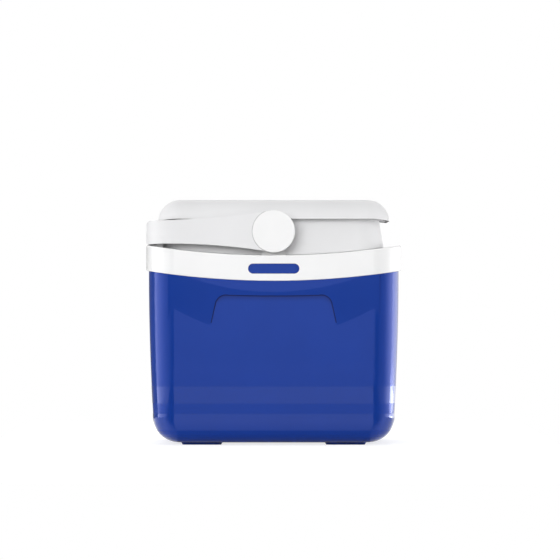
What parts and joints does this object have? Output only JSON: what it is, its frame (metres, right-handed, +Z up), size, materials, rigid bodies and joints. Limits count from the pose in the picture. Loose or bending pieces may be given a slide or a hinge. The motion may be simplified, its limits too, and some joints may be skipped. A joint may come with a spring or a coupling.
{
  "type": "vaccine carrier",
  "caption": "Insulated hard-shell cold box with a lift-off plug lid, coolant packs round a central vaccine space, and a swinging bail handle that locks the lid.",
  "frame": {"origin": "on the floor under the middle of the case, at the centre of the bottom of its bounding box", "axes": "+Z up, +X along the length of the case towards the side away from the folded handle, front faces -Y"},
  "size_m": [0.3048, 0.232, 0.2929],
  "materials": {
    "shell_blue": "smooth moulded polyethylene, semi-gloss",
    "plug_blue": "moulded polyethylene",
    "collar_white": "smooth moulded polypropylene, gloss",
    "lid_grey": "fine-textured moulded polypropylene, satin",
    "liner_white": "smooth moulded polypropylene, satin",
    "foam": "foamed in place, open skin",
    "seal_rubber": "matt",
    "steel": "zinc-plated",
    "pack_blue": "blow-moulded, satin",
    "cap_white": "moulded, satin"
  },
  "bodies": {
    "case": {"outer_shell": "shell_blue", "rim_collar": "collar_white", "inner_liner": "liner_white", "body_foam": "foam", "foam_fill_plug": "plug_blue", "pivot_screws": "steel", "pivot_washers": "steel", "coolant_pack_front": "pack_blue", "coolant_pack_back": "pack_blue", "coolant_pack_left": "pack_blue", "coolant_pack_right": "pack_blue", "pack_cap_front": "cap_white", "pack_cap_back": "cap_white", "pack_cap_left": "cap_white", "pack_cap_right": "cap_white"},
    "handle": {"handle_bail": "lid_grey", "lock_cam_front": "cap_white", "lock_cam_back": "cap_white", "hub_cap_front": "collar_white", "hub_cap_back": "collar_white"},
    "lid": {"lid_top": "lid_grey", "lid_frame": "lid_grey", "lid_liner": "liner_white", "lid_gasket": "seal_rubber", "lid_foam": "foam"}
  },
  "joints": [
    {"name": "handle_swing", "type": "hinge", "parent": "case", "child": "handle", "pos_m": [0, 0, 0.255], "axis": [0, 1, 0], "range_deg": [0, 180]},
    {"name": "lid_lift", "type": "slide", "parent": "case", "child": "lid", "axis": [0, 0, 1], "range_m": [0, 0.15]}
  ]
}
